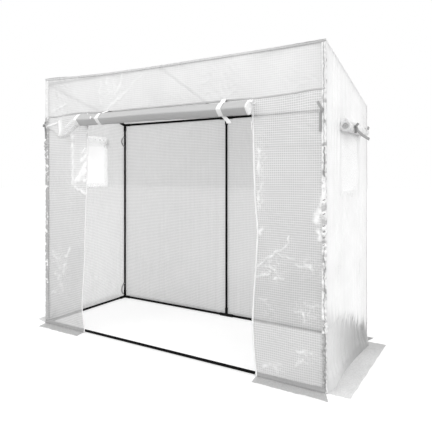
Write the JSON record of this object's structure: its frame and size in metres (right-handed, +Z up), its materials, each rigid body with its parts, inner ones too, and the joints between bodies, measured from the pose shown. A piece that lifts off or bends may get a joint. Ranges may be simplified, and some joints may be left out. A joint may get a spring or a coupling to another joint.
{
  "type": "walk-in film greenhouse",
  "caption": "Small lean-to greenhouse: push-fit tube frame, higher at the front, in a sewn grid-film cover with a roll-up door, net windows with roll-up flaps and ground skirts.",
  "frame": {"origin": "on the ground at the middle of the footprint, skirts included", "axes": "+Z up, +X to the right as seen from the door side, the door faces -Y"},
  "size_m": [2.23, 0.97, 1.68],
  "materials": {
    "tube_steel": "black powder coat, satin",
    "connector_plastic": "black moulded plastic",
    "cover_film": "white see-through film with a woven grid",
    "insect_net": "fine white netting",
    "zip_tape": "white woven zip tape",
    "zip_metal": "plain cast zip metal",
    "white_ribbon": "white woven ribbon",
    "grey_ribbon": "grey woven ribbon"
  },
  "bodies": {
    "frame_and_cover": {"base_tube_front": "tube_steel", "base_tube_back_left": "tube_steel", "base_tube_back_right": "tube_steel", "base_tube_side_left": "tube_steel", "base_tube_side_right": "tube_steel", "top_tube_front_left": "tube_steel", "top_tube_front_right": "tube_steel", "top_tube_back_left": "tube_steel", "top_tube_back_right": "tube_steel", "roof_tube_left": "tube_steel", "roof_tube_centre": "tube_steel", "roof_tube_right": "tube_steel", "post_lower_front_left": "tube_steel", "post_upper_front_left": "tube_steel", "post_lower_front_right": "tube_steel", "post_upper_front_right": "tube_steel", "post_lower_back_left": "tube_steel", "post_upper_back_left": "tube_steel", "post_lower_back_right": "tube_steel", "post_upper_back_right": "tube_steel", "post_lower_back_centre": "tube_steel", "post_upper_back_centre": "tube_steel", "base_corner_front_left": "connector_plastic", "base_corner_front_right": "connector_plastic", "base_corner_back_left": "connector_plastic", "base_corner_back_right": "connector_plastic", "base_tee_back": "connector_plastic", "top_corner_front_left": "connector_plastic", "top_corner_front_right": "connector_plastic", "top_corner_back_left": "connector_plastic", "top_corner_back_right": "connector_plastic", "top_tee_front": "connector_plastic", "top_cross_back": "connector_plastic", "roof_panel": "cover_film", "back_wall": "cover_film", "front_header": "cover_film", "side_wall_left": "cover_film", "side_wall_right": "cover_film", "front_panel_left": "cover_film", "front_panel_right": "cover_film", "skirt_left": "cover_film", "skirt_right": "cover_film", "skirt_back": "cover_film", "skirt_front_left": "cover_film", "skirt_front_right": "cover_film", "door_sheet": "cover_film", "flap_sheet_left": "cover_film", "flap_sheet_right": "cover_film", "window_net_left": "insect_net", "window_net_right": "insect_net", "zip_tape_left": "zip_tape", "zip_tape_right": "zip_tape", "door_hem_ties": "white_ribbon", "flap_hem_ties_left": "grey_ribbon", "flap_hem_ties_right": "grey_ribbon"},
    "door": {"door_roll": "cover_film"},
    "left_flap": {"flap_roll_left": "cover_film"},
    "right_flap": {"flap_roll_right": "cover_film"},
    "left_slider": {"zip_slider_left": "zip_metal"},
    "right_slider": {"zip_slider_right": "zip_metal"}
  },
  "joints": [
    {"name": "door_lower", "type": "slide", "parent": "frame_and_cover", "child": "door", "axis": [0, 0, -1], "range_m": [0, 1.34], "deforming": ["door_sheet", "door_hem_ties"]},
    {"name": "left_flap_lower", "type": "slide", "parent": "frame_and_cover", "child": "left_flap", "axis": [0, 0, -1], "range_m": [0, 0.34], "deforming": ["flap_sheet_left", "flap_hem_ties_left"]},
    {"name": "right_flap_lower", "type": "slide", "parent": "frame_and_cover", "child": "right_flap", "axis": [0, 0, -1], "range_m": [0, 0.34], "deforming": ["flap_sheet_right", "flap_hem_ties_right"]},
    {"name": "left_zip_slide", "type": "slide", "parent": "frame_and_cover", "child": "left_slider", "axis": [-0.0331, 0, -0.9995], "range_m": [0, 1.26]},
    {"name": "right_zip_slide", "type": "slide", "parent": "frame_and_cover", "child": "right_slider", "axis": [0.0152, 0, -0.9999], "range_m": [0, 1.26]}
  ]
}
